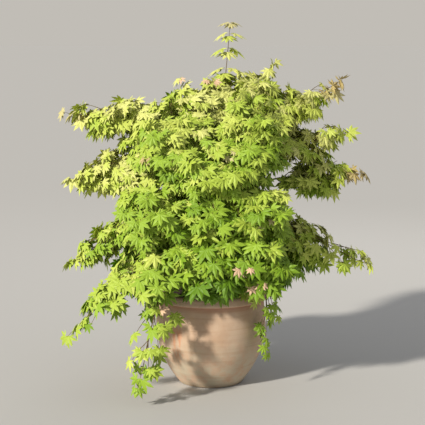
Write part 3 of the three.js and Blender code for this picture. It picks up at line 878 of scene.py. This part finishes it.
def grow_twigs(name, space, stem, slack, seed):
    """The twigs that the source grows too, and finer ones among them"""
    draws = Draws(seed)
    count = round(TWIGS_LEAST + space.sizes[0] / TWIG_EVERY)
    twigs = [
        grow_twig(space, stem, (order + 0.5) / count, order * GOLDEN_TURN, TWIG_RING, draws)
        for order in range(count)
    ]
    fine = round(count * FINE_TWIGS * FULLNESS.get(name, 1))
    twigs += [
        grow_twig(space, stem, (order + 0.5) / fine, order * GOLDEN_TURN + FINE_TURN, FINE_RING, draws)
        for order in range(fine)
    ]
    return [
        twig for twig in twigs
        if all(space.holds(twig.point(t), slack) and is_free(twig.point(t)) for t in (0.5, 1))
        and twig_fits(name, space, twig.point(1))
    ]


def twig_fits(name, space, end):
    """Twigs of the leader stop below its spire, and the others keep to their mass"""
    return end.z < SPIRE_FOOT if name == "leader" else fits_mass(name, space, end)


def grow_shoot(twig, share, side, draws):
    tangent = twig.heading(share)
    sideways = tangent.cross(UP).normalized()
    start = twig.point(share)
    outward = Vector((start.x, start.y, 0)).normalized()
    heading = tangent * draws.between(*SHOOT_ONWARD)
    heading += sideways * (side * draws.between(*SHOOT_SIDEWAYS) + draws.between(*SHOOT_STRAY))
    heading += outward * draws.between(*SHOOT_OUTWARD) + UP * draws.between(*SHOOT_LIFT)
    heading.normalize()
    length = draws.between(*SHOOT_LENGTH)
    pull = start + heading * (length * 0.5)
    end = start + heading * length - UP * (length * draws.between(*SHOOT_HANG))
    return Bend(start, pull, end)


def grow_shoots(name, space, twigs, draws):
    """The shoots of a mass's stem and twigs, fewer towards the tip of an outer mass"""
    shoots = []
    for twig in twigs:
        for share, side in SHOOT_PLACES:
            foot = twig.point(share)
            if name == "leader" and foot.z > SPIRE_FOOT:
                continue
            along = min(max(space.local(foot)[0], 0), 1)
            chance = FULLNESS[name] * (1 - THINNING * along) if name in FULLNESS else 1
            shoot = grow_shoot(twig, share, side, draws)
            if draws.one() < chance:
                shoots.append(shoot)
    return shoots


class Leaf:
    """Where one leaf stands: the foot of its blade, its three directions, size and kind"""

    def __init__(self, node, foot, forward, facing, size, kind, tint):
        self.node, self.foot, self.size, self.kind, self.tint = node, foot, size, kind, tint
        self.forward = forward.normalized()
        self.side = self.forward.cross(facing).normalized()
        self.normal = self.side.cross(self.forward)


def grow_leaf(space, shoot, share, side, tint, scale, draws):
    tangent = shoot.heading(share)
    sideways = tangent.cross(UP).normalized()
    node = shoot.point(share)
    outward = Vector((node.x, node.y, 0)).normalized()
    offset = node - space.centre
    off_stem = offset - space.axis * offset.dot(space.axis)
    off_stem.z = 0
    off_stem.normalize()
    forward = tangent * draws.between(*LEAF_ONWARD)
    forward += sideways * (side * draws.between(*LEAF_SIDEWAYS))
    forward += outward * draws.between(*LEAF_OUTWARD) + off_stem * draws.between(*LEAF_OFF_STEM)
    stalk = (forward + UP * draws.between(*STALK_LIFT)).normalized() * draws.between(*STALK_LENGTH)
    forward.normalize()
    forward -= UP * draws.between(*LEAF_DROOP)
    facing = outward * draws.between(*FACING_OUTWARD) + off_stem * draws.between(*FACING_OFF_STEM)
    facing += UP * draws.between(*FACING_UP) + sideways * draws.between(*FACING_STRAY)
    size = draws.between(*LEAF_LENGTH) * scale
    return Leaf(node, node + stalk, forward, facing, size, int(draws.one() * BLADE_KINDS), tint)


def spray_tint(name, light, space, place, draws):
    """The tint of a spray: new leaves at some tips, painted shade as deeper tints inside the crown and under
    a mass, and painted light as paler ones at a mass's top
    """
    along, _, over = space.local(place)
    if name in TIP_TINTS and along > TIP_START:
        if draws.one() < (along - TIP_CHANCE_START) * TIP_CHANCE_RISE:
            return draws.pick(TIP_TINTS[name])
    # painted shade: sprays near the crown's middle, below its top, take deeper tints
    inner_shade = max(0, 1 - math.hypot(place.x, place.y) / INNER_SHADE_RADIUS) if place.z < INNER_SHADE_TOP else 0
    # painted light and shade by the mass's light and its own step, with the leaves' own drawn spread
    step = STEP_BY_LIGHT[light] + MASS_SHADE_STEP.get(name, 0) + draws.between(*STEP_SPREAD)
    # painted shade deeper inside the crown and under a mass, painted light at a mass's top
    step += STEP_INSIDE_SHADE * inner_shade + STEP_UNDER_SHADE * max(TOP_LIGHT_LIMIT, -over)
    return LADDER[min(max(round(step), 0), len(LADDER) - 1)]


def grow_leaves(name, light, space, bearers, slack, draws):
    """The leaves of all bearers that keep to the mass, and the bearers that any stands on"""
    leaves, used = [], set()
    for bearer, places in bearers:
        tint = spray_tint(name, light, space, bearer.point(1), draws)
        for share, side in places:
            leaf = grow_leaf(space, bearer, share, side, tint, LEAF_SCALE.get(name, 1), draws)
            ends = (leaf.foot, leaf.foot + leaf.forward * leaf.size)
            free = all(space.holds(end, slack) and is_free(end) for end in ends)
            if free and fits_mass(name, space, leaf.foot):
                leaves.append(leaf)
                used.add(bearer)
    return leaves, used


def spire_of(stem):
    """The shoot from the end of the leader's stem up to its very top"""
    start = stem.point(1)
    return Bend(start, start.lerp(Vector(SPIRE_TOP), 0.5), Vector(SPIRE_TOP))


def grow_spire(stem, draws):
    """Opposite pairs of leaves up the leader's last length, arching out and down"""
    leaves = []
    spire = spire_of(stem)
    for height, turn, size, tint in SPIRE_PAIRS:
        part = spire if height > spire.start.z else stem
        share = (height - part.start.z) / (part.end.z - part.start.z)
        node = part.point(min(share, 1))
        for half in (0, 180):
            angle = math.radians(turn + half + draws.between(*SPIRE_STRAY))
            outward = Vector((math.cos(angle), math.sin(angle), 0))
            stalk = (outward + UP * SPIRE_STALK_RISE) * (SPIRE_STALK * size)
            forward = outward - UP * draws.between(*SPIRE_DROOP)
            facing = UP + outward * SPIRE_TILT
            kind = int(draws.one() * SPIRE_KINDS)
            leaves.append(Leaf(node, node + stalk, forward, facing, size, kind, tint))
    return leaves


def grow_mass(name, light, space, bough, seed):
    """The tubes of a mass's wood and of its shoots as (curve, radii, sides, steps), and its leaves"""
    slack = CLOSE_SLACK if name in CLOSE else SLACK
    stem = grow_stem(space, bough)
    tip = grow_tip(space, stem)
    twigs = grow_twigs(name, space, stem, slack, seed)
    draws = Draws(seed * 7 + 3)
    shoots = grow_shoots(name, space, [stem, *twigs], draws)
    places = LEAF_PLACES[:OUTER_PLACES if name in FULLNESS else BODY_PLACES]
    bearers = [(tip, [] if name == "leader" else LEAF_PLACES)]
    bearers += [(bearer, places) for bearer in twigs + shoots]
    leaves, used = grow_leaves(name, light, space, bearers, slack, draws)
    if name == "leader":
        tip = spire_of(stem)
        leaves += grow_spire(stem, draws)
    wood = [(stem, STEM_RADIUS, *STEM_MESH), (tip, (STEM_RADIUS[1], SHOOT_RADIUS[1]), *TIP_MESH)]
    wood += [(twig, TWIG_RADIUS, *TWIG_MESH) for twig in twigs]
    return wood, [(shoot, SHOOT_RADIUS, *SHOOT_MESH) for shoot in shoots if shoot in used], leaves


# Joined meshes from arrays
class Heap:
    """Corners and faces of many small shapes, joined into one mesh"""

    def __init__(self):
        self.corners, self.faces, self.sizes, self.finishes = [], [], [], []
        self.count = 0

    def add(self, corners, faces, sizes, finish):
        """faces lists the corners of every face in turn, and sizes how many each has"""
        self.corners.append(np.asarray(corners, np.float32))
        self.faces.append(np.asarray(faces, np.int32) + self.count)
        self.sizes.append(np.asarray(sizes, np.int32))
        self.finishes.append(np.full(len(sizes), finish, np.int32))
        self.count += len(corners)

    def piece(self, name, materials):
        corners, faces = np.concatenate(self.corners), np.concatenate(self.faces)
        sizes = np.concatenate(self.sizes)
        mesh = bpy.data.meshes.new(name)
        mesh.vertices.add(len(corners))
        mesh.vertices.foreach_set("co", corners.ravel())
        mesh.loops.add(len(faces))
        mesh.loops.foreach_set("vertex_index", faces)
        mesh.polygons.add(len(sizes))
        mesh.polygons.foreach_set("loop_start", np.concatenate([[0], np.cumsum(sizes)[:-1]]))
        mesh.polygons.foreach_set("material_index", np.concatenate(self.finishes))
        mesh.update(calc_edges=True)
        mesh.validate()
        return finish_piece(name, mesh, materials, False)


def across_from(heading):
    """A direction square to the heading, and one square to both"""
    across = heading.cross(UP if abs(heading.z) < 0.9 else Vector((1, 0, 0))).normalized()
    return across, across.cross(heading)


def add_tube(heap, curve, radii, sides, steps, finish):
    """A thin tube with closed ends along a curve"""
    rings = []
    for step in range(steps + 1):
        t = step / steps
        across, over = across_from(curve.heading(t))
        radius = mix(*radii, t)
        for side in range(sides):
            angle = 2 * math.pi * side / sides
            spoke = across * math.cos(angle) + over * math.sin(angle)
            rings.append(curve.point(t) + spoke * radius)
    faces = []
    for step in range(steps):
        for side in range(sides):
            here, there = step * sides + side, step * sides + (side + 1) % sides
            faces += [here, here + sides, there + sides, there]
    caps = [*range(sides), *(steps * sides + side for side in reversed(range(sides)))]
    heap.add(rings, faces + caps, [4] * (sides * steps) + [sides, sides], finish)


def add_stalk(heap, start, end, radius, finish):
    """A closed three-sided spindle"""
    across, over = across_from((end - start).normalized())
    middle = start.lerp(end, 0.5)
    spokes = [across, over * 0.87 - across * 0.5, over * -0.87 - across * 0.5]
    corners = [start, *(middle + spoke * radius for spoke in spokes), end]
    heap.add(corners, [0, 2, 1, 0, 3, 2, 0, 1, 3, 4, 1, 2, 4, 2, 3, 4, 3, 1], [3] * 6, finish)


def blade(kind):
    """Corners, faces and face sizes of a leaf of length 1, in side, forward and normal"""
    draws = Draws(BLADE_SEED + BLADE_SEED_STEP * kind)
    lobes = LOBES_OF_FIVE if kind % 4 == 3 else LOBES_OF_SEVEN
    droop, cup = draws.between(*BLADE_DROOP), draws.between(*BLADE_CUP)
    lobes = [(turn + draws.between(*LOBE_STRAY), reach * draws.between(*LOBE_REACH)) for turn, reach in lobes]
    flat = [(0.0, 0.0, 0.0)]

    def corner(turn, reach, lift):
        angle = math.radians(turn)
        flat.append((reach * math.sin(angle), reach * math.cos(angle), lift))
        return len(flat) - 1

    notches = [corner(lobes[0][0] - FOOT_TURN, FOOT_REACH, FOOT_LIFT)]
    for (turn, reach), (next_turn, next_reach) in zip(lobes, lobes[1:]):
        cut = NOTCH_SHARE * min(reach, next_reach) + NOTCH_LEAST
        notches.append(corner((turn + next_turn) / 2, cut, NOTCH_LIFT))
    notches.append(corner(lobes[-1][0] + FOOT_TURN, FOOT_REACH, FOOT_LIFT))
    faces, sizes = [], []
    for (turn, reach), before, after in zip(lobes, notches, notches[1:]):
        low = corner(turn - LOBE_SPREAD, reach * LOBE_WIDEST, LOBE_EDGE_LIFT)
        rib = corner(turn, reach * RIB_SHARE, RIB_LIFT)
        high = corner(turn + LOBE_SPREAD, reach * LOBE_WIDEST, LOBE_EDGE_LIFT)
        tip = corner(turn + draws.between(*LOBE_TIP_STRAY), reach, LOBE_TIP_LIFT)
        faces += [0, before, low, rib, 0, rib, high, after, rib, low, tip, rib, tip, high]
        sizes += [4, 4, 3, 3]
    shaped = [(x, y, z - droop * (x * x + y * y) - cup * abs(x)) for x, y, z in flat]
    return np.array(shaped), faces, sizes


def add_leaf(heap, leaf, blades, finish):
    corners, faces, sizes = blades[leaf.kind]
    axes = np.array([leaf.side, leaf.forward, leaf.normal])
    heap.add(corners @ axes * leaf.size + np.array(leaf.foot), faces, sizes, finish)


def wither(leaves):
    """Makes the few leaves nearest each given place small and dry"""
    for place, tint in WITHERED:
        leaves.sort(key=lambda leaf: (leaf.foot - Vector(place)).length)
        for leaf in leaves[:WITHERED_EACH]:
            leaf.tint = tint
            leaf.size *= WITHERED_SIZE


def build_foliage(limbs):
    spaces = [Space(*row[3:7]) for row in BOUGHS]
    set_walls(spaces)
    wood, stalks = Heap(), Heap()
    masses = {}
    for order, (row, space) in enumerate(zip(BOUGHS, spaces)):
        name, *_, light = row
        seed = LEAF_SEED + LEAF_SEED_STEP * order
        tubes, shoots, masses[name] = grow_mass(name, light, space, limbs[name], seed)
        for tube in tubes:
            add_tube(wood, *tube, 0)
        for shoot in shoots:
            add_tube(wood, *shoot, 1)
        for leaf in masses[name]:
            add_stalk(stalks, leaf.node, leaf.foot, STALK_RADIUS, 0)
    wither([leaf for leaves in masses.values() for leaf in leaves])
    build_twigs(wood, stalks)
    build_leaves(masses)


def build_twigs(wood, stalks):
    pieces = [
        wood.piece("twigs", [
            Finish("twig", (104, 84, 56), 0.75).material,
            Finish("shoot", (140, 128, 70), 0.65).material,
        ]),
        stalks.piece("leaf_stalks", [Finish("stalk", (176, 162, 84), 0.6).material]),
    ]
    for piece in pieces:
        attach(piece, "root")


def build_leaves(masses):
    """The leaves, joined by their light into pieces that each stand for whole masses"""
    blades = [blade(kind) for kind in range(BLADE_KINDS)]
    tints = list(TINTS)
    finishes = [Finish("leaf_" + tint, TINTS[tint], LEAF_ROUGHNESS).material for tint in tints]
    for light in STEP_BY_LIGHT:
        names = [row[0] for row in BOUGHS if row[-1] == light]
        while names:
            held, heap = [], Heap()
            while names and sum(len(masses[name]) for name in [*held, names[0]]) < PIECE_LEAVES:
                held.append(names.pop(0))
                for leaf in masses[held[-1]]:
                    add_leaf(heap, leaf, blades, tints.index(leaf.tint))
            piece = heap.piece("leaves_" + light + "_from_" + held[0], finishes)
            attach(piece, "root")
            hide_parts(*("leaves_" + name for name in held))


# Stage
def build_stage():
    bm = bmesh.new()
    bmesh.ops.create_grid(bm, x_segments=1, y_segments=1, size=FLOOR_SIZE)
    floor = new_piece("floor", bm, Finish("pale_floor", (196, 194, 190), 0.9).material)
    floor.location.z = -FLOOR_SINK
    world = bpy.data.worlds.new("studio")
    bpy.context.scene.world = world
    world.use_nodes = True
    tree = world.node_tree
    ambient = tree.nodes["Background"]
    ambient.inputs["Color"].default_value = [*AMBIENT_COLOUR, 1]
    ambient.inputs["Strength"].default_value = AMBIENT_STRENGTH
    backdrop = tree.nodes.new("ShaderNodeBackground")
    backdrop.inputs["Color"].default_value = [*linear(BACKDROP_COLOUR), 1]
    seen = tree.nodes.new("ShaderNodeLightPath")
    shown = tree.nodes.new("ShaderNodeMixShader")
    tree.links.new(seen.outputs["Is Camera Ray"], shown.inputs["Fac"])
    tree.links.new(ambient.outputs["Background"], shown.inputs[1])
    tree.links.new(backdrop.outputs["Background"], shown.inputs[2])
    tree.links.new(shown.outputs["Shader"], tree.nodes["World Output"].inputs["Surface"])


def hang_light(name, lamp, place, towards):
    """A lamp at a place, with its light coming from the direction given"""
    holder = bpy.data.objects.new(name, lamp)
    holder.location = place
    holder.rotation_euler = towards.to_track_quat("Z", "Y").to_euler()
    bpy.context.scene.collection.objects.link(holder)


def add_lamp(name, place, target, size, watts):
    lamp = bpy.data.lights.new(name, "AREA")
    lamp.energy = watts
    lamp.size = size
    hang_light(name, lamp, place, Vector(place) - Vector(target))


def add_sun():
    """An even light from far off, with the turn seen from above"""
    lamp = bpy.data.lights.new("key", "SUN")
    lamp.energy = SUN_STRENGTH
    lamp.angle = math.radians(SUN_SOFTNESS)
    lamp.color = SUN_COLOUR
    turn, height = math.radians(SUN_TURN), math.radians(SUN_HEIGHT)
    level = math.cos(height)
    towards = Vector((level * math.cos(turn), level * math.sin(turn), math.sin(height)))
    hang_light("key", lamp, (0, 0, 0), towards)


def add_camera():
    lens = bpy.data.cameras.new("camera")
    lens.sensor_width = SENSOR_WIDTH
    lens.lens = LENS_PIXELS / PHOTO_WIDTH * SENSOR_WIDTH
    camera = bpy.data.objects.new("camera", lens)
    camera.location = CAMERA_PLACE
    camera.rotation_euler = (math.radians(90 - CAMERA_DIP), 0, 0)
    bpy.context.scene.collection.objects.link(camera)
    bpy.context.scene.camera = camera


add_camera()
build_stage()
add_sun()
for row in LAMPS:
    add_lamp(*row)
bpy.context.scene.view_settings.view_transform = "Standard"

build_pot()
build_soil()
build_foliage(build_limbs())
